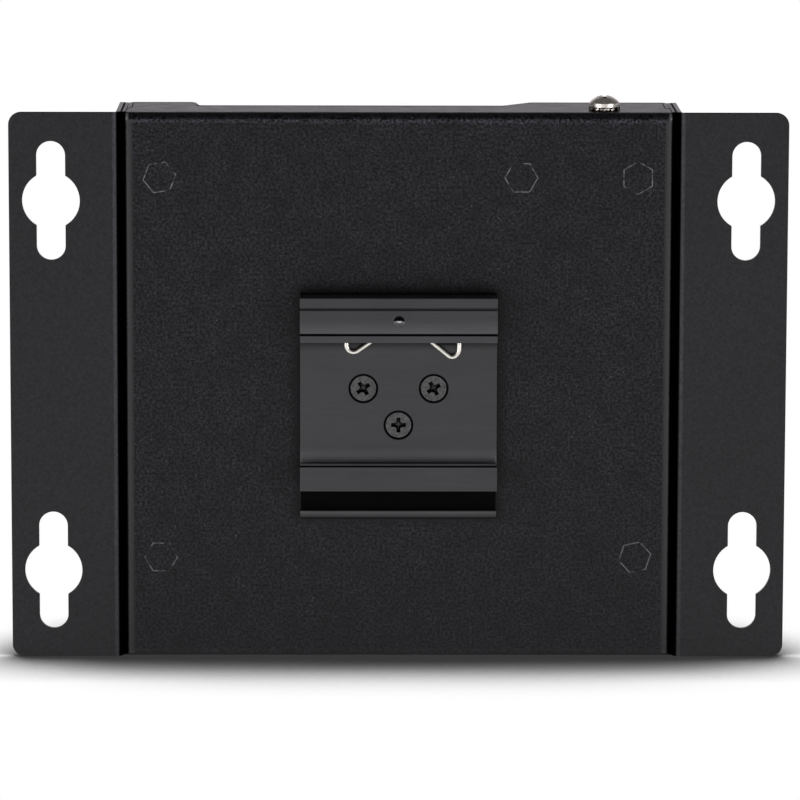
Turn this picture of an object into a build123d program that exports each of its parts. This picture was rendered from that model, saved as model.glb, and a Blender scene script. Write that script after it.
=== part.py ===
from build123d import *
import math
import os

# DIN rail Ethernet switch in a flat folded steel housing with two wall brackets and a rail clip.
# X is the width, Z is up. Depths run along +Y from the back panel's outer face to the front,
# so the rail clip, which stands out behind the back panel, has negative depths.

# Housing
body_width = 134.6
body_height = 134.0
body_depth = 25.5
sheet = 1.0
bend_radius = 2.0  # outside of a folded edge
fold_gap = 0.1  # between two sheets that are folded past each other
seam_gap = 0.25  # open seam where the top and bottom walls meet the side walls
flange_end = 11.5  # depth at which the cover's side flanges end

# Channel across the front cover
left_land = 18.5  # from the body's left side to the channel floor
right_land = 41.7  # from the channel floor to the body's right side
channel_depth = 8.0
left_run = 1.2  # the left side is steep
right_run = 6.9  # the right side is a gentle slope
channel_bend = 1.0

# Wall brackets
bracket_sheet = 1.2
ear_reach = 27.2  # from the side of the body to the ear's outer edge
leg_setback = 0.5
ear_corner = 3.0
keyhole_circle = 14.0
keyhole_slot_width = 7.0
keyhole_slot_length = 29.0
keyhole_side_margin = 10.2
keyhole_end_margin = 21.5
side_screw_setback = 8.5
side_screw_margin = 20.0
side_screw_rows = 3

# Rail clip, an extrusion whose window takes the edges of a 35 mm rail
clip_width = 47.8
clip_depth = 9.0
clip_base = 3.2
clip_bottom = 34.6
toe_height = 2.3
relief_height = 5.7
relief_floor = 1.5
lower_lip = 6.3
rail_window = 30.0
upper_lip = 11.1
lower_slot = 2.3
upper_slot = 6.3
rail_slot = 2.3  # thickness of the slots that the rail's edges sit in
lip_chamfer = 0.36
lead_in = 0.8
lead_in_height = 1.6
groove_height = 0.45  # groove above the upper lip's lead-in
groove_depth = 0.9
score_depth = 0.5  # fine line along the upper lip
score_drop = 2.8
clip_edge = 0.25

# Rail spring, one wire bent to a W and staked at its peak; drops are below the slot's ceiling
wire = 1.0
wire_rest = 0.05
spring_end_drop = 1.0
spring_left_end = -15.5
spring_left_x = -11.25
spring_left_drop = 10.15
spring_peak = 1.2
spring_right_x = 13.1
spring_right_drop = 10.9
spring_knee_x = 14.75
spring_knee_drop = 9.3
spring_right_end = 15.0
spring_bend = 1.25
spring_tight_bend = 0.9
spring_knee_bend = 2.2
stake_x = 0.1
stake_drop = 0.9
stake_radius = 1.35
stake_depth = 1.3
stake_nib = 1.0

# Fasteners
m3 = 3.0
m3_clearance = 3.4
m4 = 4.0
m4_clearance = 4.4
thread_gap = 0.03
recess_width = 0.95
recess_taper = 12.0
clip_screw_head = 6.2
clip_screw_sink = 7.0
clip_screw_rim = 0.5
clip_screw_bore = 0.35  # straight part above the countersink
clip_screw_tip = 0.2
clip_screw_spread = 17.1
clip_screw_pair_rise = 18.1  # above the rail window's lower edge
clip_screw_single_rise = 9.1
clip_screw_turns = (35.0, 31.0, 0.0)
pan_head = 5.6
pan_height = 1.9
screw_tip = 0.4  # how far a screw stands out of its nut
board_screw_bite = 2.4
nut_shank = 4.2
nut_body = 6.4
nut_height = 1.5

# Ground screw on the top wall
ground_margin = 17.3
ground_depth = 7.0
ground_head = 7.4
ground_head_height = 2.7
ground_screw_tip = 2.6
ground_recess_width = 1.2
washer_ring = 6.6
washer_tooth_reach = 7.6
washer_sheet = 0.5
washer_height = 0.9
washer_teeth = 12
washer_twist = 22.0
ground_nut_shank = 5.4
ground_nut_body = 7.9

# Clinch standoffs and board
standoff_hex = 6.9  # across flats, flush in the back panel
standoff_hex_height = 0.6
standoff_barrel = 5.4
standoff_side_margin = 9.3
standoff_top_margin = 15.8
standoff_bottom_margin = 24.75
standoff_channel_margin = 4.1  # from the channel floor's right edge to the middle standoff
standoff_turns = (9.4, 0.0, 30.0, 0.0, 12.0)
press_gap = 0.04
board_back = 4.0
board_sheet = 1.6
board_side_margin = 4.0
board_end_margin = 8.0
board_corner = 1.5

# Port rows: two gangs of upright modular jacks, as many as the channel holds
port_pitch = 14.6
port_proud = 1.45  # above the channel floor
port_floor = 1.95
port_width = 11.9
port_mouth = 7.0
port_shift = 1.0  # the mouth lies off the row's middle, away from the latch
latch_width = 6.3
latch_height = 1.4
latch_key_width = 3.3
latch_key_height = 1.3
gang_side = 1.8
gang_height = 15.6
shield_sheet = 0.3
cutout_gap = 0.4
upper_row_margin = 26.0
row_pitch = 24.0
contacts_per_port = 8
contact_pitch = 1.02
contact_width = 0.45
contact_sheet = 0.3

# Terminal header for power and alarm wires
header_poles = 6
header_pitch = 5.08
header_end = 0.95
header_height = 8.6
header_proud = 0.7
header_wall = 1.0
header_floor = 3.0
header_drop = 30.0  # below the lower port row
pin_side = 1.0
pin_drop = 1.4  # from the header's rim to the pins' tips

# Indicator lights on the right land
light_column_gap = 6.0
light_rows = 5
light_pitch = 6.0
light_top_margin = 22.0
light_peg = 2.0
light_bar_width = 3.2
light_bar_sheet = 1.5
light_proud = 0.2
led_length = 1.6
led_width = 0.8
led_height = 0.7
light_gap = 0.4

# Board parts under the cover
chip_side = 13.0
chip_height = 1.4
sink_side = 17.0
sink_base = 2.0
sink_clearance = 1.5
sink_fins = 5
sink_fin = 1.1
part_gap = 2.0
magnetics_width = 12.5
magnetics_length = 8.6
magnetics_height = 5.8
magnetics_drop = 16.5  # below the lower port row
power_drop = 14.0  # from the header to the row of power parts
inductor_side = 12.0
inductor_height = 6.0
capacitor_radius = 5.0
capacitor_clearance = 3.9
capacitor_pitch = 13.0
relay_width = 15.2
relay_length = 7.6
relay_clearance = 1.3
crystal_width = 5.0
crystal_length = 3.2
crystal_height = 1.2

# Places that follow from the sizes above
back_y = (clip_depth - body_depth - light_proud) / 2
channel_left = left_land - body_width / 2
channel_right = body_width / 2 - right_land
channel_floor = body_depth - channel_depth
leg_depth = body_depth - leg_setback
side_screw_depth = body_depth - side_screw_setback
wall_x = body_width / 2 - sheet
wall_depth = body_depth - sheet - fold_gap
cover_half = wall_x - fold_gap
toe_round = toe_height - 2 * clip_edge
toe_top = clip_bottom + toe_height
lower_lip_bottom = toe_top + relief_height
window_bottom = lower_lip_bottom + lower_lip
window_top = window_bottom + rail_window
slot_ceiling = window_top + upper_slot
clip_top = window_top + upper_lip
clip_screw_length = clip_base + sheet + nut_height
side_screw_length = bracket_sheet + 2 * sheet + fold_gap + nut_height + screw_tip
ground_x = body_width / 2 - ground_margin
ground_screw_length = washer_height + sheet + nut_height + ground_screw_tip
board_face = board_back + board_sheet
port_x = (channel_left + channel_right) / 2
port_height = channel_floor + port_proud - board_face
port_cavity_depth = port_height - port_floor
upper_row = body_height - upper_row_margin
lower_row = upper_row - row_pitch
ports_per_row = int((channel_right - channel_left - 2 * gang_side) / port_pitch)
gang_width = ports_per_row * port_pitch + 2 * gang_side
header_width = header_poles * header_pitch + 2 * header_end
header_rise = channel_floor + header_proud - board_face
header_z = lower_row - header_drop
magnetics_z = lower_row - magnetics_drop
power_z = header_z - power_drop
beside_header = header_width / 2 + part_gap
sink_x = port_x + beside_header + sink_side / 2
sink_height = channel_floor - sheet - sink_clearance - board_face - chip_height
inductor_x = port_x - beside_header - inductor_side / 2
capacitor_x = channel_left - left_run - sheet - part_gap / 4 - capacitor_radius
capacitor_height = body_depth - sheet - capacitor_clearance - board_face
relay_height = channel_floor - sheet - relay_clearance - board_face
light_x = (channel_right + right_run + cover_half) / 2
light_middle = body_height - light_top_margin - (light_rows - 1) * light_pitch / 2
side_screw_pitch = (body_height - 2 * side_screw_margin) / (side_screw_rows - 1)
standoff_side = body_width / 2 - standoff_side_margin
standoff_top = body_height - standoff_top_margin
standoff_places = [
    (-standoff_side, standoff_top),
    (channel_right + standoff_channel_margin, standoff_top),
    (standoff_side, standoff_top),
    (-standoff_side, standoff_bottom_margin),
    (standoff_side, standoff_bottom_margin),
]
clip_screw_places = [
    (-clip_screw_spread / 2, window_bottom + clip_screw_pair_rise),
    (clip_screw_spread / 2, window_bottom + clip_screw_pair_rise),
    (0, window_bottom + clip_screw_single_rise),
]

os.makedirs("parts", exist_ok=True)


def level(depth):
    """Plane parallel to the back panel: X to the right, Z up, looking out behind."""
    return Plane.XZ.offset(-back_y - depth)


def plan(z):
    """Horizontal plane whose second coordinate is the depth."""
    return Plane(origin=(0, back_y, z))


def facing_back(x, depth, z, turn=0.0):
    return Location((x, back_y + depth, z), (90, 0, 0)) * Location((0, 0, 0), (0, 0, turn))


def facing_front(x, depth, z):
    return Location((x, back_y + depth, z), (-90, 0, 0))


def save(piece, name):
    piece.part.label = name
    export_step(piece.part, f"parts/{name}.step")


def cross_slots(top, width, reach):
    """Outline of a screwdriver's cross on the plane at height top."""
    with BuildSketch(Plane.XY.offset(top)) as cross:
        Rectangle(reach, width)
        Rectangle(width, reach)
    return cross.sketch


def pan_head_screw(thread, head, height, length, slot):
    """Pan head above Z = 0, shank below it."""
    rim = 0.35 * height
    tip = 0.12 * thread
    shank = thread / 2 - thread_gap
    with BuildPart() as screw:
        with BuildSketch(Plane.XZ):
            with BuildLine():
                Polyline((0, height), (0, -length), (shank - tip, -length), (shank, -length + tip), (shank, 0))
                Polyline((shank, 0), (head / 2, 0), (head / 2, rim))
                TangentArc((0, height), (head / 2, rim), tangent=(1, 0))
            make_face()
        revolve(axis=Axis.Z)
        extrude(cross_slots(height, slot, 0.6 * head), amount=-0.6 * height, taper=recess_taper, mode=Mode.SUBTRACT)
    return screw.part


def clinch_nut(bore, shank, shank_length, body, height):
    """Round clinch nut: shank pressed in the sheet below Z = 0, body above it."""
    with BuildPart() as nut:
        with BuildSketch(Plane.XY.offset(-shank_length)):
            Circle(shank / 2)
        extrude(amount=shank_length)
        with BuildSketch():
            Circle(body / 2)
        extrude(amount=height)
        Hole(bore / 2)
    return nut.part


# Outline of the front cover, seen from above: side flanges, lands and the channel between them
with BuildSketch(plan(0)) as cover_outline:
    with BuildLine():
        Polyline(
            (-cover_half, 0),
            (-cover_half, body_depth),
            (channel_left - left_run, body_depth),
            (channel_left, channel_floor),
            (channel_right, channel_floor),
            (channel_right + right_run, body_depth),
            (cover_half, body_depth),
            (cover_half, 0),
            close=True,
        )
    make_face()
    fillet(cover_outline.vertices().group_by(Axis.Y)[-1], bend_radius)
    fillet(cover_outline.vertices().filter_by_position(Axis.Y, channel_floor, channel_floor), channel_bend)

# Rear tray: back panel with its four walls folded forward, one sheet
with BuildPart() as rear_tray:
    with BuildSketch(level(0)):
        with Locations((0, body_height / 2)):
            Rectangle(body_width, body_height)
    extrude(amount=-wall_depth)
    fillet(rear_tray.edges().group_by(Axis.Y)[0], bend_radius)
    offset(amount=-sheet, openings=rear_tray.faces().sort_by(Axis.Y)[-1])
    # open corner seams, widened in front to let the cover's flanges pass
    with BuildSketch(plan(-sheet)):
        with BuildLine():
            Polyline(
                (wall_x, bend_radius),
                (wall_x - seam_gap, bend_radius),
                (wall_x - seam_gap, flange_end - 2 * sheet),
                (cover_half - sheet - seam_gap, flange_end - fold_gap),
                (cover_half - sheet - seam_gap, body_depth),
                (wall_x, body_depth),
                close=True,
            )
        make_face()
        mirror(about=Plane.YZ)
    extrude(amount=body_height + 2 * sheet, mode=Mode.SUBTRACT)
    # top and bottom walls are cut down to fit under the cover and its channel
    under_cover = offset(cover_outline.sketch_local, amount=-sheet - fold_gap, mode=Mode.PRIVATE)
    with BuildSketch(plan(-sheet)):
        with Locations((0, body_depth)):
            Rectangle(2 * cover_half - 2 * sheet, 2 * (body_depth - channel_floor + 2 * sheet))
        add(under_cover, mode=Mode.SUBTRACT)
    extrude(amount=body_height + 2 * sheet, mode=Mode.SUBTRACT)
    # holes for standoffs, clip nuts, side screws and ground screw
    for (x, z), turn in zip(standoff_places, standoff_turns):
        with BuildSketch(level(0)):
            with Locations((x, z)):
                RegularPolygon(standoff_hex / 2 + press_gap, 6, major_radius=False, rotation=turn)
        extrude(amount=-standoff_hex_height, mode=Mode.SUBTRACT)
    with BuildSketch(level(0)):
        with Locations(*standoff_places):
            Circle(standoff_barrel / 2 + press_gap)
        with Locations(*clip_screw_places):
            Circle(nut_shank / 2 + press_gap)
    extrude(amount=-sheet, mode=Mode.SUBTRACT)
    with BuildSketch(Plane.YZ):
        with Locations((back_y + side_screw_depth, body_height / 2)):
            with GridLocations(0, side_screw_pitch, 1, side_screw_rows):
                Circle(m3_clearance / 2)
    extrude(amount=body_width / 2, both=True, mode=Mode.SUBTRACT)
    with BuildSketch(plan(body_height - sheet)):
        with Locations((ground_x, ground_depth)):
            Circle(ground_nut_shank / 2 + press_gap)
    extrude(amount=sheet, mode=Mode.SUBTRACT)
save(rear_tray, "rear_tray")

# Front cover: one sheet with a channel folded across it and two side flanges
with BuildPart() as front_cover:
    with BuildSketch(plan(0)):
        add(cover_outline.sketch_local)
        offset(amount=-sheet, mode=Mode.SUBTRACT)
        Rectangle(2 * cover_half, 2 * flange_end, mode=Mode.SUBTRACT)
    extrude(amount=body_height)
    # port rows and terminal header look out through the channel floor
    with BuildSketch(level(body_depth)) as cover_cutouts:
        with Locations((port_x, upper_row), (port_x, lower_row)):
            Rectangle(gang_width + 2 * cutout_gap, gang_height + 2 * cutout_gap)
        with Locations((port_x, header_z)):
            Rectangle(header_width + 2 * cutout_gap, header_height + 2 * cutout_gap)
        fillet(cover_cutouts.vertices(), cutout_gap)
    extrude(amount=body_depth - channel_floor + 2 * sheet, mode=Mode.SUBTRACT)
    with BuildSketch(level(body_depth)):
        with Locations((light_x, light_middle)):
            with GridLocations(light_column_gap, light_pitch, 2, light_rows):
                Circle(light_peg / 2 + fold_gap)
    extrude(amount=2 * sheet, mode=Mode.SUBTRACT)
    for flange_x in (-cover_half, cover_half - sheet):
        with BuildSketch(Plane.YZ.offset(flange_x)):
            with Locations((back_y + side_screw_depth, body_height / 2)):
                with GridLocations(0, side_screw_pitch, 1, side_screw_rows):
                    Circle(nut_shank / 2 + press_gap)
        extrude(amount=sheet, mode=Mode.SUBTRACT)
save(front_cover, "front_cover")

# Wall bracket: leg along the body's side, ear folded outwards in the plane of the back panel
side_x = body_width / 2
ear_x = side_x + ear_reach
with BuildPart() as right_bracket:
    with BuildSketch(plan(0)) as bracket_section:
        with BuildLine():
            Polyline(
                (side_x, 0),
                (ear_x, 0),
                (ear_x, bracket_sheet),
                (side_x + bracket_sheet, bracket_sheet),
                (side_x + bracket_sheet, leg_depth),
                (side_x, leg_depth),
                close=True,
            )
        make_face()
        fillet(bracket_section.vertices().sort_by_distance((side_x, 0))[0], bend_radius)
        inner_bend = bracket_section.vertices().sort_by_distance((side_x + bracket_sheet, bracket_sheet))[0]
        fillet(inner_bend, bend_radius - bracket_sheet)
    extrude(amount=body_height)
    fillet(right_bracket.edges().filter_by(Axis.Y).group_by(Axis.X)[-1], ear_corner)
    with BuildSketch(level(0)):
        with Locations((ear_x - keyhole_side_margin, body_height / 2)):
            with GridLocations(0, body_height - 2 * keyhole_end_margin, 1, 2):
                Circle(keyhole_circle / 2)
                SlotOverall(keyhole_slot_length, keyhole_slot_width, rotation=90)
    extrude(amount=-bracket_sheet, mode=Mode.SUBTRACT)
    with BuildSketch(Plane.YZ.offset(side_x)):
        with Locations((back_y + side_screw_depth, body_height / 2)):
            with GridLocations(0, side_screw_pitch, 1, side_screw_rows):
                Circle(m3_clearance / 2)
    extrude(amount=bracket_sheet, mode=Mode.SUBTRACT)
save(right_bracket, "right_bracket")

with BuildPart() as left_bracket:
    mirror(right_bracket.part, about=Plane.YZ)
save(left_bracket, "left_bracket")

# Side screws hold bracket, tray and cover together; their nuts are clinched in the cover's flanges
side_rows = [side_screw_margin + row * side_screw_pitch for row in range(side_screw_rows)]
side_screw = pan_head_screw(m3, pan_head, pan_height, side_screw_length, recess_width)
side_nut = clinch_nut(m3, nut_shank, sheet, nut_body, nut_height)
head_x = side_x + bracket_sheet
with BuildPart() as right_bracket_screws:
    with Locations(*[Location((head_x, back_y + side_screw_depth, z), (0, 90, 0)) for z in side_rows]):
        add(side_screw)
save(right_bracket_screws, "right_bracket_screws")

with BuildPart() as left_bracket_screws:
    mirror(right_bracket_screws.part, about=Plane.YZ)
save(left_bracket_screws, "left_bracket_screws")

nut_x = cover_half - sheet
with BuildPart() as flange_nuts:
    with Locations(*[Location((nut_x, back_y + side_screw_depth, z), (0, -90, 0)) for z in side_rows]):
        add(side_nut)
    mirror(about=Plane.YZ)
save(flange_nuts, "flange_nuts")

# Rail clip: aluminium extrusion, its section drawn as distance behind the panel against height
with BuildPart() as rail_clip:
    clip_plane = Plane(origin=(clip_width / 2, back_y, 0), x_dir=(0, -1, 0), z_dir=(-1, 0, 0))
    slot_face = clip_base + rail_slot
    with BuildSketch(clip_plane) as clip_section:
        with BuildLine():
            Polyline(
                (0, clip_bottom),
                (clip_base, clip_bottom),
                (clip_base, toe_top),
                (relief_floor, toe_top),
                (relief_floor, lower_lip_bottom),
                (clip_depth, lower_lip_bottom),
                (clip_depth, window_bottom - lip_chamfer),
                (clip_depth - lip_chamfer, window_bottom),
                (slot_face, window_bottom),
                (slot_face, window_bottom - lower_slot),
                (clip_base, window_bottom - lower_slot),
                (clip_base, slot_ceiling),
                (slot_face, slot_ceiling),
                (slot_face, window_top),
                (clip_depth - lead_in, window_top),
                (clip_depth, window_top + lead_in_height),
                (clip_depth, clip_top),
                (0, clip_top),
                close=True,
            )
        make_face()
        fillet(clip_section.vertices().sort_by_distance((clip_base, clip_bottom))[0], toe_round)
        outer_edges = [
            (clip_depth, lower_lip_bottom),
            (clip_depth, clip_top),
            (slot_face, window_bottom),
            (slot_face, window_top),
            (clip_base, toe_top),
        ]
        fillet([clip_section.vertices().sort_by_distance(point)[0] for point in outer_edges], clip_edge)
        # groove and fine scored line along the upper lip
        with Locations((clip_depth, window_top + lead_in_height + groove_height)):
            Rectangle(2 * groove_depth, groove_height, mode=Mode.SUBTRACT)
        with Locations((clip_depth, clip_top - score_drop)):
            Rectangle(score_depth, score_depth, rotation=45, mode=Mode.SUBTRACT)
    extrude(amount=clip_width)
    # punched stake that traps the spring's peak, with the nib it pushes into the slot
    with BuildSketch(level(-slot_face)):
        with Locations((stake_x, slot_ceiling - stake_drop)):
            Circle(stake_nib)
    extrude(amount=-(rail_slot - wire - 2 * wire_rest))
    with BuildSketch(level(-clip_depth)):
        with Locations((stake_x, slot_ceiling - stake_drop)):
            Circle(stake_radius)
    extrude(amount=-stake_depth, taper=30, mode=Mode.SUBTRACT)
    with Locations(*[facing_back(x, -clip_base, z) for x, z in clip_screw_places]):
        Hole(clip_screw_sink / 2, clip_screw_bore)
    with Locations(*[facing_back(x, clip_screw_bore - clip_base, z) for x, z in clip_screw_places]):
        CounterSinkHole(m3_clearance / 2, clip_screw_sink / 2, clip_base - clip_screw_bore, 90)
save(rail_clip, "rail_clip")

# Rail spring: wire bent to a W, both loops hang below the upper lip to press on the rail
with BuildPart() as rail_spring:
    with BuildLine(level(-clip_base - wire_rest - wire / 2)) as spring_path:
        FilletPolyline(
            (spring_left_end, slot_ceiling - spring_end_drop),
            (spring_left_x, slot_ceiling - spring_left_drop),
            (spring_peak, slot_ceiling - spring_end_drop),
            (spring_right_x, slot_ceiling - spring_right_drop),
            (spring_knee_x, slot_ceiling - spring_knee_drop),
            (spring_right_end, slot_ceiling - spring_end_drop),
            radius=[spring_bend, spring_bend, spring_tight_bend, spring_knee_bend],
        )
    with BuildSketch(Plane(origin=spring_path.line @ 0, z_dir=spring_path.line % 0)):
        Circle(wire / 2)
    sweep()
save(rail_spring, "rail_spring")

# Clip screws: countersunk, with nuts clinched in the back panel
head_sink = (clip_screw_sink - clip_screw_head) / 2 + clip_screw_bore - clip_screw_rim - thread_gap
with BuildPart() as clip_screw:
    head_r = clip_screw_head / 2
    shank_r = m3 / 2 - thread_gap
    with BuildSketch(Plane.XZ):
        with BuildLine():
            Polyline(
                (0, 0),
                (head_r, 0),
                (head_r, -clip_screw_rim),
                (shank_r, -clip_screw_rim - head_r + shank_r),
                (shank_r, -clip_screw_length + thread_gap),
                (shank_r - clip_screw_tip, -clip_screw_length),
                (0, -clip_screw_length),
                close=True,
            )
        make_face()
    revolve(axis=Axis.Z)
    wings = 0.6 * (head_r - shank_r) + clip_screw_rim
    cross = cross_slots(0, recess_width, 0.58 * clip_screw_head)
    extrude(cross, amount=-wings, taper=recess_taper, mode=Mode.SUBTRACT)
    with Locations((0, 0, -wings / 2)):
        Cone(recess_width / 2, recess_width, 1.001 * wings, mode=Mode.SUBTRACT)

with BuildPart() as clip_screws:
    for (x, z), turn in zip(clip_screw_places, clip_screw_turns):
        with Locations(facing_back(x, head_sink - clip_base, z, turn)):
            add(clip_screw.part)
save(clip_screws, "clip_screws")

with BuildPart() as clip_nuts:
    with Locations(*[facing_front(x, sheet, z) for x, z in clip_screw_places]):
        add(clinch_nut(m3, nut_shank, sheet, nut_body, nut_height))
save(clip_nuts, "clip_nuts")

# Ground screw, its toothed washer and the nut clinched in the top wall
ground_y = back_y + ground_depth
with BuildPart() as ground_screw:
    with Locations((ground_x, ground_y, body_height + washer_height)):
        add(pan_head_screw(m4, ground_head, ground_head_height, ground_screw_length, ground_recess_width))
save(ground_screw, "ground_screw")

with BuildPart() as ground_washer:
    washer_middle = body_height + washer_height / 2
    with BuildSketch(Plane.XY.offset(washer_middle - washer_sheet / 2)):
        with Locations((ground_x, ground_y)):
            Circle(washer_ring / 2)
            Circle(m4_clearance / 2, mode=Mode.SUBTRACT)
    extrude(amount=washer_sheet)
    tooth_reach = (washer_tooth_reach - m4_clearance) / 2
    tooth_width = math.pi * washer_ring / washer_teeth / 2
    with Locations((ground_x, ground_y, washer_middle)):
        with PolarLocations((washer_tooth_reach - tooth_reach) / 2, washer_teeth):
            Box(tooth_reach, tooth_width, washer_sheet, rotation=(washer_twist, 0, 0))
    with BuildSketch(Plane.XY.offset(body_height)):
        with Locations((ground_x, ground_y)):
            Circle(washer_tooth_reach / 2)
            Circle(m4_clearance / 2, mode=Mode.SUBTRACT)
    extrude(amount=washer_height, mode=Mode.INTERSECT)
save(ground_washer, "ground_washer")

with BuildPart() as ground_nut:
    with Locations(Location((ground_x, ground_y, body_height - sheet), (180, 0, 0))):
        add(clinch_nut(m4, ground_nut_shank, sheet, ground_nut_body, nut_height))
save(ground_nut, "ground_nut")

# Clinch standoffs: hexagons flush in the back panel, barrels up to the board
with BuildPart() as board_standoffs:
    for (x, z), turn in zip(standoff_places, standoff_turns):
        with BuildSketch(level(0)):
            with Locations((x, z)):
                RegularPolygon(standoff_hex / 2, 6, major_radius=False, rotation=turn)
        extrude(amount=-standoff_hex_height)
    with BuildSketch(level(0)):
        with Locations(*standoff_places):
            Circle(standoff_barrel / 2)
    extrude(amount=-board_back)
    with BuildSketch(level(board_back)):
        with Locations(*standoff_places):
            Circle(m3 / 2)
    extrude(amount=board_back - sheet, mode=Mode.SUBTRACT)
save(board_standoffs, "board_standoffs")

# Circuit board
with BuildPart() as circuit_board:
    with BuildSketch(level(board_back)) as board_outline:
        with Locations((0, body_height / 2)):
            Rectangle(body_width - 2 * board_side_margin, body_height - 2 * board_end_margin)
        fillet(board_outline.vertices(), board_corner)
        with Locations(*standoff_places):
            Circle(m3_clearance / 2, mode=Mode.SUBTRACT)
    extrude(amount=-board_sheet)
save(circuit_board, "circuit_board")

with BuildPart() as board_screws:
    with Locations(*[facing_front(x, board_face, z) for x, z in standoff_places]):
        add(pan_head_screw(m3, pan_head, pan_height, board_sheet + board_screw_bite, recess_width))
save(board_screws, "board_screws")

# Port rows: moulded housing, folded shield over it and sprung contacts; the latches of the two
# rows point away from each other
for row_name, row_z, latch in (("upper", upper_row, 1), ("lower", lower_row, -1)):
    mouth_z = row_z - latch * port_shift
    contact_side = mouth_z - latch * port_mouth / 2
    with BuildSketch(level(board_face + port_height)) as port_mouths:
        with Locations((port_x, mouth_z)):
            with GridLocations(port_pitch, 0, ports_per_row, 1):
                Rectangle(port_width, port_mouth)
        latch_z = mouth_z + latch * port_mouth / 2
        for step_width, step_height in ((latch_width, latch_height), (latch_key_width, latch_key_height)):
            with Locations((port_x, latch_z + latch * step_height / 2)):
                with GridLocations(port_pitch, 0, ports_per_row, 1):
                    Rectangle(step_width, step_height)
            latch_z += latch * step_height

    with BuildPart() as port_housing:
        with BuildSketch(level(board_face)):
            with Locations((port_x, row_z)):
                Rectangle(gang_width - 2 * shield_sheet, gang_height - 2 * shield_sheet)
        extrude(amount=-(port_height - shield_sheet))
        extrude(port_mouths.sketch, amount=port_cavity_depth, mode=Mode.SUBTRACT)
        # slot in each floor for the contact legs
        with BuildSketch(level(board_face)):
            with Locations((port_x, contact_side + latch * contact_sheet)):
                with GridLocations(port_pitch, 0, ports_per_row, 1):
                    Rectangle(contacts_per_port * contact_pitch, 2 * contact_sheet)
        extrude(amount=-(port_height - port_cavity_depth), mode=Mode.SUBTRACT)
    save(port_housing, f"{row_name}_port_housing")

    with BuildPart() as port_shield:
        with BuildSketch(level(board_face)):
            with Locations((port_x, row_z)):
                Rectangle(gang_width, gang_height)
        extrude(amount=-port_height)
        fillet(port_shield.edges().group_by(Axis.Y)[-1], shield_sheet)
        with BuildSketch(level(board_face)):
            with Locations((port_x, row_z)):
                Rectangle(gang_width - 2 * shield_sheet, gang_height - 2 * shield_sheet)
        extrude(amount=-(port_height - shield_sheet), mode=Mode.SUBTRACT)
        extrude(port_mouths.sketch, amount=shield_sheet, mode=Mode.SUBTRACT)
    save(port_shield, f"{row_name}_port_shield")

    # one contact: leg up from the board, folded over near the mouth and sprung back into the port
    with BuildPart() as port_contact:
        leg = contact_side + latch * contact_sheet / 2
        tip_depth = board_face + port_height - port_cavity_depth + 4 * contact_sheet
        fold_depth = board_face + port_height - 6 * contact_sheet
        with BuildSketch(Plane.YZ):
            with BuildLine():
                Polyline(
                    (back_y + board_face, leg),
                    (back_y + fold_depth, leg),
                    (back_y + fold_depth, leg + latch * contact_sheet),
                    (back_y + fold_depth - contact_sheet, leg + latch * 2 * contact_sheet),
                    (back_y + tip_depth, leg + latch * 6 * contact_sheet),
                    (back_y + tip_depth, leg + latch * 5 * contact_sheet),
                    (back_y + fold_depth - 2 * contact_sheet, leg + latch * contact_sheet),
                    (back_y + board_face, leg + latch * contact_sheet),
                    close=True,
                )
            make_face()
        extrude(amount=contact_width / 2, both=True)

    with BuildPart() as port_contacts:
        with Locations((port_x, 0, 0)):
            with GridLocations(port_pitch, 0, ports_per_row, 1):
                with GridLocations(contact_pitch, 0, contacts_per_port, 1):
                    add(port_contact.part)
    save(port_contacts, f"{row_name}_port_contacts")

# Terminal header: open box with square pins on its floor
with BuildPart() as terminal_header:
    with BuildSketch(level(board_face)):
        with Locations((port_x, header_z)):
            Rectangle(header_width, header_height)
    extrude(amount=-header_rise)
    with BuildSketch(level(board_face + header_rise)):
        with Locations((port_x, header_z)):
            Rectangle(header_width - 2 * header_wall, header_height - 2 * header_wall)
    extrude(amount=header_rise - header_floor, mode=Mode.SUBTRACT)
    # keyways that code the plug, one beside each pole, and the pin holes
    with BuildSketch(level(board_face + header_rise)):
        with Locations((port_x, header_z + header_height / 2 - header_wall)):
            with GridLocations(header_pitch, 0, header_poles, 1):
                Rectangle(2 * header_wall, header_wall)
    extrude(amount=header_rise - header_floor, mode=Mode.SUBTRACT)
    with BuildSketch(level(board_face)):
        with Locations((port_x, header_z)):
            with GridLocations(header_pitch, 0, header_poles, 1):
                Rectangle(pin_side + 2 * press_gap, pin_side + 2 * press_gap)
    extrude(amount=-header_floor, mode=Mode.SUBTRACT)
save(terminal_header, "terminal_header")

with BuildPart() as terminal_pins:
    with BuildSketch(level(board_face)):
        with Locations((port_x, header_z)):
            with GridLocations(header_pitch, 0, header_poles, 1):
                Rectangle(pin_side, pin_side)
    extrude(amount=-(header_rise - pin_drop))
    chamfer(terminal_pins.edges().group_by(Axis.Y)[-1], 0.25 * pin_side)
save(terminal_pins, "terminal_pins")

# Light guides: one clear moulding for each column, its pegs end in the cover's holes
with BuildPart() as light_guides:
    with BuildSketch(level(wall_depth)):
        with Locations((light_x, light_middle)):
            with GridLocations(light_column_gap, 0, 2, 1):
                SlotOverall(light_rows * light_pitch, light_bar_width, rotation=90)
    extrude(amount=light_bar_sheet)
    with BuildSketch(level(body_depth + light_proud)):
        with Locations((light_x, light_middle)):
            with GridLocations(light_column_gap, light_pitch, 2, light_rows):
                Circle(light_peg / 2)
    extrude(amount=body_depth + light_proud - board_face - led_height - light_gap)
save(light_guides, "light_guides")

with BuildPart() as indicator_leds:
    with BuildSketch(level(board_face)):
        with Locations((light_x, light_middle)):
            with GridLocations(light_column_gap, light_pitch, 2, light_rows):
                Rectangle(led_length, led_width)
    extrude(amount=-led_height)
save(indicator_leds, "indicator_leds")

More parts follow.
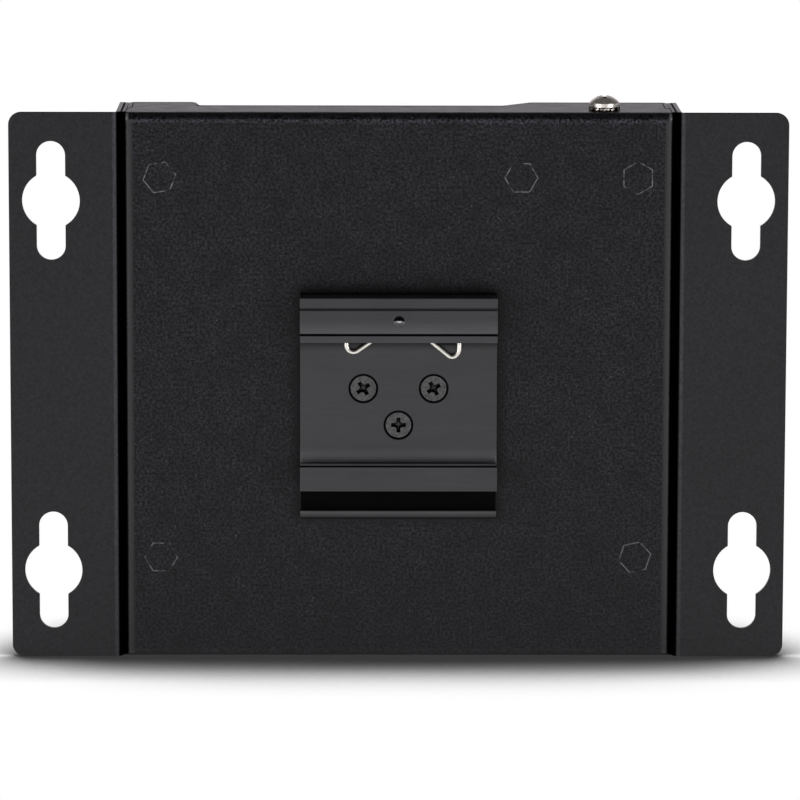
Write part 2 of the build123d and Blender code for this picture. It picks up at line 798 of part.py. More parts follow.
# Switch chip and the finned heat sink bonded to it, beside the terminal header
with BuildPart() as switch_chip:
    with BuildSketch(level(board_face)):
        with Locations((sink_x, header_z)):
            Rectangle(chip_side, chip_side)
    extrude(amount=-chip_height)
    chamfer(switch_chip.edges().group_by(Axis.Y)[-1], 0.2 * chip_height)
save(switch_chip, "switch_chip")

with BuildPart() as heat_sink:
    with BuildSketch(level(board_face + chip_height)):
        with Locations((sink_x, header_z)):
            Rectangle(sink_side, sink_side)
    extrude(amount=-sink_base)
    with BuildSketch(level(board_face + chip_height + sink_base)):
        with Locations((sink_x, header_z)):
            with GridLocations((sink_side - sink_fin) / (sink_fins - 1), 0, sink_fins, 1):
                Rectangle(sink_fin, sink_side)
    extrude(amount=-(sink_height - sink_base))
save(heat_sink, "heat_sink")

# Line transformers, one for each pair of ports
with BuildPart() as magnetics:
    with BuildSketch(level(board_face)):
        with Locations((port_x, magnetics_z)):
            with GridLocations(port_pitch, 0, ports_per_row, 1):
                Rectangle(magnetics_width, magnetics_length)
    extrude(amount=-magnetics_height)
    chamfer(magnetics.edges().group_by(Axis.Y)[-1], 0.08 * magnetics_height)
save(magnetics, "magnetics")

# Power stage: shielded inductors, upright capacitors under the left land, and the alarm relay
with BuildPart() as power_inductors:
    with BuildSketch(level(board_face)) as inductor_plan:
        with Locations((inductor_x, header_z), (inductor_x, power_z)):
            Rectangle(inductor_side, inductor_side)
        chamfer(inductor_plan.vertices(), 0.15 * inductor_side)
    extrude(amount=-inductor_height)
save(power_inductors, "power_inductors")

with BuildPart() as capacitors:
    with BuildSketch(level(board_face)):
        with Locations((capacitor_x, lower_row)):
            with GridLocations(0, capacitor_pitch, 1, 2):
                Circle(capacitor_radius)
    extrude(amount=-capacitor_height)
    chamfer(capacitors.edges().group_by(Axis.Y)[-1], 0.06 * capacitor_radius)
save(capacitors, "capacitors")

with BuildPart() as alarm_relay:
    with BuildSketch(level(board_face)):
        with Locations((port_x, power_z)):
            Rectangle(relay_width, relay_length)
    extrude(amount=-relay_height)
    chamfer(alarm_relay.edges().group_by(Axis.Y)[-1], 0.05 * relay_height)
save(alarm_relay, "alarm_relay")

with BuildPart() as crystal:
    with BuildSketch(level(board_face)):
        with Locations((sink_x, power_z)):
            RectangleRounded(crystal_width, crystal_length, 0.2 * crystal_length)
    extrude(amount=-crystal_height)
save(crystal, "crystal")
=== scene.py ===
import math
import bpy
import bmesh
from mathutils import Matrix, Vector


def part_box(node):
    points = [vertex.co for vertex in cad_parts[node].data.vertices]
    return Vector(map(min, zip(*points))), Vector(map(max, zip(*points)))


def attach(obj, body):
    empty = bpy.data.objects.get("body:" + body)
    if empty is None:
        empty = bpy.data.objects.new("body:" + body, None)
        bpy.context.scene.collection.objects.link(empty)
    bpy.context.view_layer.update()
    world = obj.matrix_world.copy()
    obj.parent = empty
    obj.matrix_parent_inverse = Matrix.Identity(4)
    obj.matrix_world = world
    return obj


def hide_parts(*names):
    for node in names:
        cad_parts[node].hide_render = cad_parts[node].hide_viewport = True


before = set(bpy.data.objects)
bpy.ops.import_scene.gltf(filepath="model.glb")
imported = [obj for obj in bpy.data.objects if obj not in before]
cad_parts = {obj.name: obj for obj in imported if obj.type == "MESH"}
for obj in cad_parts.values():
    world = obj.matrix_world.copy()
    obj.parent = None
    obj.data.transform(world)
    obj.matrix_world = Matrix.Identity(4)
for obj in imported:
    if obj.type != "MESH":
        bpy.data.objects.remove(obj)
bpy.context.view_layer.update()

scene = bpy.context.scene
mm = 0.001
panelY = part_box("rear_tray")[0].y  # outer face of the back panel


# Node helpers

def node(tree, kind, x, y, **values):
    made = tree.nodes.new("ShaderNode" + kind)
    made.location = (x, y)
    for key, value in values.items():
        setattr(made, key, value)
    return made


def link(tree, source, target):
    tree.links.new(source, target)


def ramp(tree, source, x, y, stops):
    made = node(tree, "ValToRGB", x, y)
    while len(made.color_ramp.elements) < len(stops):
        made.color_ramp.elements.new(0.5)
    for element, (place, colour) in zip(made.color_ramp.elements, stops):
        element.position = place
        element.color = (*colour, 1) if hasattr(colour, "__len__") else (colour, colour, colour, 1)
    link(tree, source, made.inputs["Fac"])
    return made.outputs["Color"]


# Mix of two colours; the factor and each colour is either a socket or a fixed value
def mix(tree, x, y, factor, first, second, blend="MIX"):
    made = node(tree, "Mix", x, y, data_type="RGBA", blend_type=blend)
    factorIn, firstIn, secondIn = made.inputs[0], made.inputs[6], made.inputs[7]
    for target, value in ((factorIn, factor), (firstIn, first), (secondIn, second)):
        if isinstance(value, bpy.types.NodeSocket):
            link(tree, value, target)
        else:
            target.default_value = value
    return made.outputs[2]


def join(tree, x, y, operation, first, second):
    made = node(tree, "Math", x, y, operation=operation)
    link(tree, first, made.inputs[0])
    link(tree, second, made.inputs[1])
    return made.outputs[0]


# Mask of patches in object space. A patch is a row of limits (axis, none at, full at) in mm that all
# have to hold. The axis is X, Y or Z, "away" for the distance from the middle plane, or the place
# (x, z) of a centre for the distance from it.
def mask(tree, place, patches):
    split = node(tree, "SeparateXYZ", -2300, 900)
    link(tree, place.outputs["Object"], split.inputs[0])
    away = node(tree, "Math", -2100, 1000, operation="ABSOLUTE")
    link(tree, split.outputs["X"], away.inputs[0])
    axes = {"X": split.outputs["X"], "Y": split.outputs["Y"], "Z": split.outputs["Z"], "away": away.outputs[0]}
    whole = None
    for limits in patches:
        inside = None
        for axis, none, full in limits:
            if axis not in axes:
                flat = node(tree, "CombineXYZ", -2300, 600)
                link(tree, split.outputs["X"], flat.inputs["X"])
                link(tree, split.outputs["Z"], flat.inputs["Z"])
                gap = node(tree, "VectorMath", -2100, 600, operation="DISTANCE")
                link(tree, flat.outputs[0], gap.inputs[0])
                gap.inputs[1].default_value = (axis[0] * mm, 0, axis[1] * mm)
                axes[axis] = gap.outputs["Value"]
            edge = node(tree, "MapRange", -1900, 900)
            edge.inputs["From Min"].default_value = none * mm
            edge.inputs["From Max"].default_value = full * mm
            link(tree, axes[axis], edge.inputs["Value"])
            share = edge.outputs["Result"]
            inside = join(tree, -1700, 900, "MULTIPLY", inside, share) if inside else share
        whole = join(tree, -1500, 900, "MAXIMUM", whole, inside) if whole else inside
    return whole


# Limit by depth in mm: positive from the panel's face into the body, negative out behind it
def atDepth(none, full):
    return ("Y", panelY / mm + none, panelY / mm + full)


# What all finishes share
usual = {
    "specular": 0.5, "grain": 1500, "grainDetail": 2, "spread": 0.2, "contrast": (0.3, 0.7),
    "cloud": 40, "cloudSpread": 0.08, "roughSpread": 0.06, "bump": 0.2, "depth": 0.05, "edge": 0.15,
}
noise = {"low": 0.3, "high": 0.7, "grainRough": 0.6, "cloudDetail": 3, "speckDetail": 2}
# dark patches are painted shade
paintedShadeLeft = 0.05  # share of the colour that a dark patch keeps
# painted shade in recesses: darker where less of the sky is open
recessShadeFall = ((0.35, 0.02), (0.85, 1))  # open share of a hollow, and the colour left there
clearIndex = 1.49


# Every finish: fine grain in colour and bump, slow clouds of handling in colour and roughness, soft
# edges, and placed patches of painted shade, painted light and shade, and even painted highlights
def finish(name, spec):
    spec = {**usual, **spec}
    made = bpy.data.materials.new(name)
    made.use_nodes = True
    tree = made.node_tree
    shader = tree.nodes["Principled BSDF"]
    colour = spec["colour"]
    shader.inputs["Metallic"].default_value = spec.get("metal", 0)
    shader.inputs["Specular IOR Level"].default_value = spec["specular"]
    if "through" in spec:
        shader.inputs["Transmission Weight"].default_value = spec["through"]
        shader.inputs["IOR"].default_value = clearIndex
    place = node(tree, "TexCoord", -1500, 0)
    stretch = node(tree, "Mapping", -1300, 0)
    stretch.inputs["Scale"].default_value = spec.get("stretch", (1, 1, 1))
    link(tree, place.outputs["Object"], stretch.inputs["Vector"])
    grain = node(tree, "TexNoise", -1100, 200)
    grain.inputs["Scale"].default_value = spec["grain"]
    grain.inputs["Detail"].default_value = spec["grainDetail"]
    grain.inputs["Roughness"].default_value = noise["grainRough"]
    link(tree, stretch.outputs["Vector"], grain.inputs["Vector"])
    cloud = node(tree, "TexNoise", -1100, -200)
    cloud.inputs["Scale"].default_value = spec["cloud"]
    cloud.inputs["Detail"].default_value = noise["cloudDetail"]
    link(tree, place.outputs["Object"], cloud.inputs["Vector"])

    # colour: grain and clouds first
    dark = [c * (1 - spec["spread"]) for c in colour]
    light = [c * (1 + spec["spread"]) for c in colour]
    low, high = spec["contrast"]
    slow = spec["cloudSpread"]
    fine = ramp(tree, grain.outputs["Fac"], -850, 300, [(low, dark), (high, light)])
    broad = ramp(tree, cloud.outputs["Fac"], -850, 60, [(noise["low"], 1 - slow), (noise["high"], 1 + slow)])
    shown = mix(tree, -550, 200, 1, fine, broad, "MULTIPLY")
    if "specks" in spec:
        specks = spec["specks"]
        dots = node(tree, "TexNoise", -1100, 600)
        dots.inputs["Scale"].default_value = specks["scale"]
        dots.inputs["Detail"].default_value = noise["speckDetail"]
        link(tree, place.outputs["Object"], dots.inputs["Vector"])
        bright = ramp(tree, dots.outputs["Fac"], -850, 600, [(specks["from"], 1), (specks["to"], specks["gain"])])
        shown = mix(tree, -300, 300, 1, shown, bright, "MULTIPLY")

    # then the patches: painted shade, painted light and shade, painted highlights and painted shade in recesses
    hidden = mask(tree, place, spec["dark"].values()) if "dark" in spec else None
    if hidden:
        dim = ramp(tree, hidden, -500, 900, [(0, 1), (1, paintedShadeLeft)])
        shown = mix(tree, -150, 300, 1, shown, dim, "MULTIPLY")
    # painted light and painted shade: a gain above 1 lightens its patches, one below 1 darkens them
    for gain, *patches in spec.get("light", {}).values():
        lift = node(tree, "MapRange", -500, 700)
        lift.inputs["To Min"].default_value = 1
        lift.inputs["To Max"].default_value = gain
        link(tree, mask(tree, place, patches), lift.inputs["Value"])
        shown = mix(tree, -100, 500, 1, shown, lift.outputs["Result"], "MULTIPLY")
    # painted highlights: patches set to one even bright tone
    for tint, *patches in spec.get("paintedHighlight", {}).values():
        shown = mix(tree, -50, 500, mask(tree, place, patches), shown, (*tint, 1))
    # painted shade in recesses, from how much of the sky is open around each point
    if "paintedRecessShade" in spec:
        hollow = node(tree, "AmbientOcclusion", -700, 1200, samples=8)
        hollow.inputs["Distance"].default_value = spec["paintedRecessShade"] * mm
        deep = ramp(tree, hollow.outputs["AO"], -500, 1200, recessShadeFall)
        shown = mix(tree, 0, 300, 1, shown, deep, "MULTIPLY")
    link(tree, shown, shader.inputs["Base Color"])

    # roughness: clouds, and the painted-shade patches fully dull
    gloss = node(tree, "MapRange", -550, -80)
    gloss.inputs["From Min"].default_value = noise["low"]
    gloss.inputs["From Max"].default_value = noise["high"]
    gloss.inputs["To Min"].default_value = spec["rough"] - spec["roughSpread"]
    gloss.inputs["To Max"].default_value = spec["rough"] + spec["roughSpread"]
    link(tree, cloud.outputs["Fac"], gloss.inputs["Value"])
    rough = gloss.outputs["Result"]
    # the painted shade is also fully dull and, on coats, metallic, which takes its reflection off
    if hidden:
        rough = join(tree, -300, -80, "MAXIMUM", rough, hidden)
        if "metal" not in spec:
            link(tree, hidden, shader.inputs["Metallic"])  # takes the coat's own reflection off as well
    link(tree, rough, shader.inputs["Roughness"])

    soft = node(tree, "Bevel", -550, -500, samples=6)
    soft.inputs["Radius"].default_value = spec["edge"] * mm
    bump = node(tree, "Bump", -300, -300)
    bump.inputs["Strength"].default_value = spec["bump"]
    bump.inputs["Distance"].default_value = spec["depth"] * mm
    link(tree, grain.outputs["Fac"], bump.inputs["Height"])
    link(tree, soft.outputs["Normal"], bump.inputs["Normal"])
    link(tree, bump.outputs["Normal"], shader.inputs["Normal"])
    made.diffuse_color = (*colour, 1)
    return made


def dress(made, *names):
    for name in names:
        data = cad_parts[name].data
        data.materials.clear()
        data.materials.append(made)


def addPiece(mesh, made):
    mesh.materials.append(made)
    piece = bpy.data.objects.new(mesh.name, mesh)
    scene.collection.objects.link(piece)
    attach(piece, "root")
    return piece


# Painted shade and painted highlights at the folds of the housing and the brackets
folds = {
    # painted shade: dark in the gaps beside the bracket legs, on the bottom bend and along the seams and rims on top
    "dark": {
        "legGap": (("away", 65.7, 66.3), ("away", 68.75, 68.2), atDepth(0.0, 0.12), atDepth(2.6, 2.3)),
        "bottomBend": (("Z", 1.6, 0.1), atDepth(2.2, 2.0), ("away", 67.0, 66.8)),
        "legSeam": (("Z", 133.7, 133.85), ("away", 66.85, 67.05), ("away", 67.6, 67.45)),
        "earTop": (("Z", 133.85, 133.95), ("away", 68.9, 69.2)),
        "coverRim": (("Z", 133.7, 133.9), atDepth(23.6, 25.0)),
        "channelRim": (("Z", 133.7, 133.9), atDepth(15.6, 16.6), ("X", -50.0, -49.0), ("X", 26.5, 26.0)),
    },
    # painted shade round the clip and on the top bend, painted highlights on the ear bends and the panel's top edge
    "light": {
        "clipShade": (0.30, (("away", 26.8, 24.2), ("Z", 32.5, 35.0), ("Z", 93.0, 90.3), atDepth(0.1, 0.05))),
        "earAndPanelEdgeHighlights": (
            2.6,
            (("away", 68.4, 68.7), ("away", 69.5, 69.2), atDepth(0.6, 0.4)),
            (("Z", 131.2, 131.8), ("Z", 132.5, 132.3), atDepth(0.3, 0.2), ("away", 66.2, 66.0)),
        ),
        "topBendShade": (0.65, (("Z", 132.6, 132.8), ("Z", 134.0, 133.9), atDepth(1.8, 1.6), ("away", 66.2, 66.0))),
    },
}

# Folded steel body: black powder coat with a fine dry speckle, and even painted highlights along its upright bends and
# upper corners
bodyCoat = finish("bodyCoat", {
    **folds, "colour": (0.0108, 0.0104, 0.0135), "rough": 0.38, "roughSpread": 0.03, "specular": 0.22,
    "grain": 1550, "grainDetail": 4, "spread": 0.98, "contrast": (0.41, 0.59),
    "cloud": 210, "cloudSpread": 0.30, "specks": {"scale": 2600, "from": 0.66, "to": 0.74, "gain": 5.0},
    "bump": 1.0, "depth": 0.06, "edge": 0.25,
    # painted highlights on the side bends and at the upper corners
    "paintedHighlight": {
        "sideBends": (
            (0.043, 0.043, 0.045),
            (("away", 64.3, 65.1), ("away", 66.0, 65.7), atDepth(0.5, 0.4), ("Z", 132.6, 131.8)),
        ),
        "upperCorners": (
            (0.16, 0.16, 0.165),
            (("away", 65.3, 65.7), ("away", 66.2, 66.0), ("Z", 132.1, 132.5), ("Z", 133.9, 133.6), atDepth(1.6, 1.4)),
        ),
    },
})
dress(bodyCoat, "rear_tray", "front_cover", "board_standoffs")

# Wall brackets: the same black, smoother and a little more satin, with the same painted shade and highlights at the
# folds
bracketCoat = finish("bracketCoat", {
    **folds, "colour": (0.0165, 0.0162, 0.0190), "rough": 0.34, "roughSpread": 0.03, "specular": 0.27,
    "spread": 0.35, "cloud": 30, "bump": 0.18, "edge": 0.25,
})
dress(bracketCoat, "left_bracket", "right_bracket")

# Rail clip: black anodised aluminium, brushed along its width, with painted shade and painted light on it
clip = {
    # painted shade: in the channel above the foot, the groove over the upper lip, under the spring loops, at the lower
    # lip's rim and in the top of the stake hole
    "dark": {
        "hollow": (atDepth(-3.18, -3.05), ("away", 23.88, 23.85), ("Z", 36.8, 36.9)),
        "groove": (atDepth(-7.9, -8.0), ("Z", 80.60, 80.70), ("Z", 81.32, 81.22)),
        "leftLoop": (atDepth(-3.35, -3.30), ("Z", 77.9, 78.4), ("X", -12.2, -11.2), ("X", -7.4, -8.6)),
        "rightLoop": (atDepth(-3.35, -3.30), ("Z", 77.4, 78.2), ("X", 9.6, 10.6), ("X", 14.6, 14.0)),
        "lowerLipRim": (atDepth(-8.6, -8.75), ("Z", 48.45, 48.55), ("Z", 48.95, 48.85)),
        "stakeRoof": (
            atDepth(-8.97, -8.90), ("Z", 84.1, 84.4), ("Z", 85.8, 85.7), ("X", -1.4, -1.3), ("X", 1.6, 1.5)),
    },
    # painted light and painted shade: lighter base over the lower lip, highlights on the lower lip's top and the floor
    # of the stake hole, shade under the upper lip and on the foot's lower end, a lighter upper lip face and foot top
    "light": {
        "baseOverLip": (1.9, (atDepth(-3.4, -3.3), ("Z", 52.5, 49.4), ("Z", 48.8, 48.9))),
        "lowerLipTop": (12.0, (atDepth(-8.5, -8.4), ("Z", 48.7, 48.85), ("Z", 48.98, 48.95), atDepth(-5.6, -6.2))),
        "underUpperLip": (0.40, (atDepth(-3.4, -3.3), ("Z", 76.4, 78.1))),
        "footBelow": (0.25, (("Z", 36.6, 34.8), atDepth(0.1, 0.0))),
        "upperLipFace": (1.7, (atDepth(-8.7, -8.9), ("Z", 84.6, 81.2), ("Z", 80.5, 81.0))),
        "footAbove": (1.5, (atDepth(-2.0, -2.6), ("Z", 35.2, 36.9), ("Z", 37.2, 37.0))),
        "stakeFloor": (
            12.0,
            (atDepth(-8.97, -8.90), ("Z", 82.8, 82.9), ("Z", 84.3, 84.0), ("X", -1.4, -1.3), ("X", 1.6, 1.5)),
        ),
    },
    "screws": {"leftRing": (-8.55, 67.0), "rightRing": (8.55, 67.0), "lowerRing": (0.0, 58.0)},
}
# painted shade: a dark ring in each countersink
for name, centre in clip["screws"].items():  # dark ring in each countersink
    clip["dark"][name] = ((centre, 3.0, 3.12), (centre, 3.72, 3.56), atDepth(-3.4, -3.3))
clipAnodise = finish("clipAnodise", {
    "dark": clip["dark"], "light": clip["light"],
    "colour": (0.062, 0.062, 0.066), "rough": 0.34, "roughSpread": 0.03, "metal": 0.75, "specular": 0.4,
    "grain": 900, "stretch": (0.08, 1, 2.0), "spread": 0.05, "cloud": 60, "bump": 0.04, "depth": 0.02,
})
dress(clipAnodise, "rail_clip")

# Bright nickel on the spring wire, the ground screw and its washer
nickelWire = finish("nickelWire", {
    "colour": (0.82, 0.79, 0.73), "rough": 0.30, "metal": 1,
    "grain": 700, "spread": 0.08, "bump": 0.08, "depth": 0.02, "edge": 0.05,
})
# painted shade in the recesses of the ground screw and washer
nickelScrew = finish("nickelScrew", {
    "colour": (0.76, 0.70, 0.66), "rough": 0.27, "roughSpread": 0.10, "metal": 1,
    "grain": 900, "spread": 0.22, "cloud": 500, "bump": 0.45, "edge": 0.12, "paintedRecessShade": 1.2,
})
dress(nickelScrew, "ground_screw", "ground_washer")

# Black zinc on the screws of the clip and the brackets, plain zinc on nuts and hidden screws
# painted shade in the recesses of the black screws
blackZinc = finish("blackZinc", {
    "colour": (0.085, 0.085, 0.088), "rough": 0.24, "roughSpread": 0.10, "metal": 0.9,
    "grain": 1300, "spread": 0.35, "cloud": 400, "bump": 0.35, "depth": 0.03, "edge": 0.12, "paintedRecessShade": 1.5,
})
dress(blackZinc, "clip_screws", "left_bracket_screws", "right_bracket_screws")
zincPlate = finish("zincPlate", {
    "colour": (0.58, 0.59, 0.60), "rough": 0.34, "metal": 1,
    "grain": 800, "spread": 0.10, "cloud": 200, "bump": 0.10, "edge": 0.10,
})
dress(zincPlate, "flange_nuts", "clip_nuts", "ground_nut", "board_screws", "terminal_pins", "crystal")
print("stage 1: coats and metals")

# Board and what stands on it
solderMask = finish("solderMask", {
    "colour": (0.012, 0.10, 0.035), "rough": 0.32,
    "grain": 600, "spread": 0.18, "cloud": 120, "cloudSpread": 0.15, "bump": 0.12, "edge": 0.10,
})
dress(solderMask, "circuit_board")
blackMoulding = finish("blackMoulding", {
    "colour": (0.022, 0.022, 0.023), "rough": 0.48, "grain": 1400, "spread": 0.15, "bump": 0.15, "edge": 0.12,
})
dress(blackMoulding, "upper_port_housing", "lower_port_housing", "alarm_relay")
chipMoulding = finish("chipMoulding", {
    "colour": (0.030, 0.030, 0.031), "rough": 0.55, "grain": 2200, "spread": 0.25, "bump": 0.30, "edge": 0.10,
})
dress(chipMoulding, "switch_chip", "magnetics")
greenMoulding = finish("greenMoulding", {
    "colour": (0.020, 0.26, 0.075), "rough": 0.42, "grain": 1300, "spread": 0.08, "bump": 0.10,
})
dress(greenMoulding, "terminal_header")
portShell = finish("portShell", {
    "colour": (0.62, 0.60, 0.55), "rough": 0.30, "metal": 1,
    "grain": 900, "stretch": (0.1, 1, 1.5), "spread": 0.10, "bump": 0.10, "edge": 0.12,
})
dress(portShell, "upper_port_shield", "lower_port_shield")
goldFlash = finish("goldFlash", {
    "colour": (0.78, 0.55, 0.20), "rough": 0.24, "metal": 1, "grain": 900, "spread": 0.08, "bump": 0.05, "edge": 0.04,
})
dress(goldFlash, "upper_port_contacts", "lower_port_contacts")
bareAluminium = finish("bareAluminium", {
    "colour": (0.68, 0.69, 0.70), "rough": 0.36, "metal": 1,
    "grain": 800, "stretch": (1, 0.1, 1), "spread": 0.10, "bump": 0.12, "edge": 0.10,
})
dress(bareAluminium, "heat_sink", "capacitors")
ferriteGrey = finish("ferriteGrey", {
    "colour": (0.085, 0.085, 0.088), "rough": 0.60, "grain": 1800, "spread": 0.30, "bump": 0.30,
})
dress(ferriteGrey, "power_inductors")
clearMoulding = finish("clearMoulding", {
    "colour": (0.86, 0.88, 0.88), "rough": 0.14, "through": 0.85,
    "grain": 600, "spread": 0.03, "bump": 0.05, "edge": 0.08,
})
dress(clearMoulding, "light_guides")
lampMoulding = finish("lampMoulding", {
    "colour": (0.72, 0.72, 0.55), "rough": 0.35, "grain": 900, "spread": 0.06, "bump": 0.08, "edge": 0.05,
})
dress(lampMoulding, "indicator_leds")
print("stage 2: board parts")


# Line through corners, each but the first and last rounded by its radius
def rounded(corners, radii, steps=10):
    line = [Vector(corners[0])]
    for k, radius in enumerate(radii):
        before, corner, after = (Vector(corners[k + n]) for n in range(3))
        back, on = (before - corner).normalized(), (after - corner).normalized()
        half = back.angle(on) / 2
        middle = corner + (back + on).normalized() * radius / math.sin(half)
        start = corner + back * radius / math.tan(half) - middle
        end = corner + on * radius / math.tan(half) - middle
        turn = start.angle(end)
        for n in range(steps + 1):
            share = n / steps
            swept = start * math.sin((1 - share) * turn) + end * math.sin(share * turn)
            line.append(middle + swept / math.sin(turn))
    line.append(Vector(corners[-1]))
    return line


def tube(name, line, radius, sides=14):
    made = bmesh.new()
    rings = []
    for k, at in enumerate(line):
        along = (line[min(k + 1, len(line) - 1)] - line[max(k - 1, 0)]).normalized()
        across = along.cross(Vector((0, 1, 0))).normalized()
        out = along.cross(across)
        rings.append([made.verts.new(at + (across * math.cos(t) + out * math.sin(t)) * radius)
                      for t in (2 * math.pi * n / sides for n in range(sides))])
    for a, b in zip(rings, rings[1:]):
        for n in range(sides):
            made.faces.new((a[n], a[(n + 1) % sides], b[(n + 1) % sides], b[n]))
    for ring in (rings[0], rings[-1]):
        made.faces.new(ring)
    bmesh.ops.recalc_face_normals(made, faces=made.faces)
    for face in made.faces:
        face.smooth = True
    mesh = bpy.data.meshes.new(name)
    made.to_mesh(mesh)
    made.free()
    return mesh


# Spring wire, drawn thicker and rounder in its loops than the part's; its corners are (x, drop from
# the ceiling of the clip's upper slot)
spring = {
    "radius": 0.63, "behind": 3.90, "ceiling": 85.2,
    "corners": ((-12.90, 1.0), (-12.50, 10.6), (1.2, 1.0), (13.05, 10.75), (14.70, 9.1), (14.70, 1.0)),
    "radii": (1.7, 1.25, 1.3, 2.2),
}
wireLine = [Vector((at.x * mm, panelY - spring["behind"] * mm, (spring["ceiling"] - at.y) * mm))
            for at in rounded(spring["corners"], spring["radii"])]
springWire = addPiece(tube("springWire", wireLine, spring["radius"] * mm), nickelWire)
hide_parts("rail_spring")

# Press seams of the standoffs: worn, broken hexagon lines in the panel; places are (x, z, turn)
seam = {
    "across": 6.9, "line": 0.28, "proud": 0.03, "clear": 0.002, "sides": 6,
    "places": ((-58.0, 118.2, 9.4), (29.7, 118.2, 0), (58.0, 118.2, 30), (-58.0, 24.75, 0), (58.0, 24.75, 12)),
}
seamWear = finish("seamWear", {
    "colour": (0.085, 0.085, 0.090), "rough": 0.40, "specular": 0.4,
    "grain": 480, "spread": 0.98, "contrast": (0.44, 0.56), "bump": 0.4, "depth": 0.08, "edge": 0.05,
})
sides = seam["sides"]
corner = seam["across"] / 2 / math.cos(math.pi / sides)
section = ((corner - seam["line"] / 2, 0), (corner, seam["proud"]), (corner + seam["line"] / 2, 0))
lines = bmesh.new()
for x, z, turn in seam["places"]:
    rings = []
    for out, rise in section:
        angles = [math.radians(360 / sides * k + turn) for k in range(sides)]
        rings.append([lines.verts.new((
            (x + out * math.cos(angle)) * mm,
            panelY - (rise + seam["clear"]) * mm,
            (z + out * math.sin(angle)) * mm,
        )) for angle in angles])
    for a, b in zip(rings, rings[1:]):
        for k in range(sides):
            lines.faces.new((a[k], a[(k + 1) % sides], b[(k + 1) % sides], b[k]))
seamMesh = bpy.data.meshes.new("standoffSeams")
lines.to_mesh(seamMesh)
lines.free()
addPiece(seamMesh, seamWear)
print("stage 3: spring wire and marks on the panel")

# Floor: plain and pale, white to the camera and in reflections, and keeps the object's soft shadow,
# which follows from how much of the sky is open: a smooth step over a wide reach, and a power of it
# close by
ground = {
    "reach": 12.0, "pale": 0.82, "samples": 24, "darkest": 0.04,
    "wideReach": 0.075, "wideDark": 0.48, "wideClear": 0.87,
    "closeReach": 0.032, "closePower": 6,
}
floorWhite = bpy.data.materials.new("floorWhite")
floorWhite.use_nodes = True
tree = floorWhite.node_tree
tree.nodes.remove(tree.nodes["Principled BSDF"])
plain = node(tree, "BsdfDiffuse", -400, 100)
plain.inputs["Color"].default_value = (ground["pale"], ground["pale"], ground["pale"], 1)
wide = node(tree, "AmbientOcclusion", -1200, -100, samples=ground["samples"])
wide.inputs["Distance"].default_value = ground["wideReach"]
wideShade = node(tree, "MapRange", -1000, -100, interpolation_type="SMOOTHSTEP")
wideShade.inputs["From Min"].default_value = ground["wideDark"]
wideShade.inputs["From Max"].default_value = ground["wideClear"]
link(tree, wide.outputs["AO"], wideShade.inputs["Value"])
close = node(tree, "AmbientOcclusion", -1200, -400, samples=ground["samples"])
close.inputs["Distance"].default_value = ground["closeReach"]
closeShade = node(tree, "Math", -1000, -400, operation="POWER")
closeShade.inputs[1].default_value = ground["closePower"]
link(tree, close.outputs["AO"], closeShade.inputs[0])
darker = node(tree, "Math", -700, -200, operation="MAXIMUM")
link(tree, join(tree, -850, -200, "MINIMUM", wideShade.outputs[0], closeShade.outputs[0]), darker.inputs[0])
darker.inputs[1].default_value = ground["darkest"]
ray = node(tree, "LightPath", -800, 400).outputs
tint = mix(tree, -550, -200, ray["Is Camera Ray"], (1, 1, 1, 1), darker.outputs[0])  # white in reflections
white = node(tree, "Emission", -400, -100)
link(tree, tint, white.inputs["Color"])
seen = join(tree, -600, 400, "MAXIMUM", ray["Is Camera Ray"], ray["Is Glossy Ray"])
seen = join(tree, -400, 400, "MAXIMUM", seen, ray["Is Transmission Ray"])
mixer = node(tree, "MixShader", -100, 0)
link(tree, seen, mixer.inputs[0])
link(tree, plain.outputs[0], mixer.inputs[1])
link(tree, white.outputs[0], mixer.inputs[2])
link(tree, mixer.outputs[0], tree.nodes["Material Output"].inputs["Surface"])
reach = ground["reach"]
floorMesh = bpy.data.meshes.new("floor")
outline = [(-reach, -reach, 0), (reach, -reach, 0), (reach, reach, 0), (-reach, reach, 0)]
floorMesh.from_pydata(outline, [], [(0, 1, 2, 3)])
floorMesh.materials.append(floorWhite)
floor = bpy.data.objects.new("floor", floorMesh)
scene.collection.objects.link(floor)

# World: a bright backdrop low behind the object, dark above and in front of it
backdrop = ((0.0, 0.10), (0.70, 0.14), (0.90, (0.80, 0.75, 0.80)))
world = bpy.data.worlds.new("studio")
scene.world = world
world.use_nodes = True
tree = world.node_tree
place = node(tree, "TexCoord", -1100, 0)
split = node(tree, "SeparateXYZ", -900, 0)
link(tree, place.outputs["Generated"], split.inputs[0])
link(tree, ramp(tree, split.outputs["Y"], -700, 0, backdrop), tree.nodes["Background"].inputs["Color"])

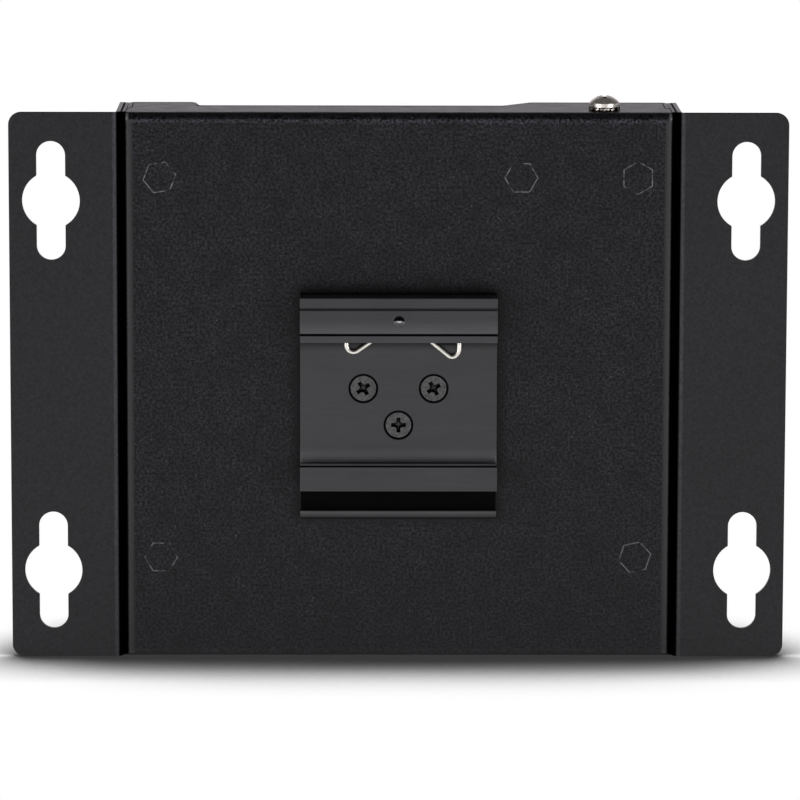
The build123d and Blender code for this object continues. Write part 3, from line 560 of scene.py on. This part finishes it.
# Lamps: soft boxes left and right of the camera, low enough to leave the folded edges dark, and a
# broad sun that lights only the floor
floorAlone = bpy.data.collections.new("floorAlone")
floorAlone.objects.link(floor)
notFloor = bpy.data.collections.new("notFloor")
notFloor.objects.link(floor)
notFloor.collection_objects[0].light_linking.link_state = "EXCLUDE"
lamps = {
    "leftBox": {"kind": "AREA", "place": (-1.10, -1.10, 0.18), "aim": (0, 0, 0.067), "size": (0.8, 0.6), "power": 6.0},
    "rightBox": {"kind": "AREA", "place": (1.10, -1.10, 0.18), "aim": (0, 0, 0.067), "size": (0.8, 0.6), "power": 6.6},
    "overhead": {"kind": "SUN", "place": (0.0, 0.33, 1.0), "aim": (0, 0, 0), "angle": 30, "power": 3.1},
}
for name, lamp in lamps.items():
    light = bpy.data.lights.new(name, lamp["kind"])
    light.energy = lamp["power"]
    if lamp["kind"] == "AREA":
        light.shape = "RECTANGLE"
        light.size, light.size_y = lamp["size"]
    else:
        light.angle = math.radians(lamp["angle"])
    holder = bpy.data.objects.new(name, light)
    holder.location = lamp["place"]
    holder.rotation_mode = "QUATERNION"
    holder.rotation_quaternion = (Vector(lamp["aim"]) - Vector(lamp["place"])).to_track_quat("-Z", "Y")
    holder.light_linking.receiver_collection = notFloor if lamp["kind"] == "AREA" else floorAlone
    scene.collection.objects.link(holder)

# Camera: the photograph's angle, worked out from the square body's edges
shot = {
    "pitch": 8.886, "yaw": 0.518, "roll": 0.130, "distance": 1.29108, "aim": (0.399, -8.35, 63.697),
    "lens": 238.28, "sensor": 36, "near": 0.05, "far": 40,
}
pitch, yaw, roll = (math.radians(shot[key]) for key in ("pitch", "yaw", "roll"))
forward = Vector((math.sin(yaw) * math.cos(pitch), math.cos(yaw) * math.cos(pitch), -math.sin(pitch)))
right = Vector((math.cos(yaw), -math.sin(yaw), 0))
up = right.cross(forward)
turned = right * math.cos(roll) + up * math.sin(roll)
upright = up * math.cos(roll) - right * math.sin(roll)
eye = Vector([c * mm for c in shot["aim"]]) - forward * shot["distance"]
camera = bpy.data.objects.new("camera", bpy.data.cameras.new("camera"))
camera.data.sensor_width = shot["sensor"]
camera.data.lens = shot["lens"]
camera.data.clip_start, camera.data.clip_end = shot["near"], shot["far"]
camera.matrix_world = Matrix.Translation(eye) @ Matrix((turned, upright, -forward)).transposed().to_4x4()
scene.collection.objects.link(camera)
scene.camera = camera
scene.view_settings.view_transform = "Standard"
print("stage 4: floor, light and camera")
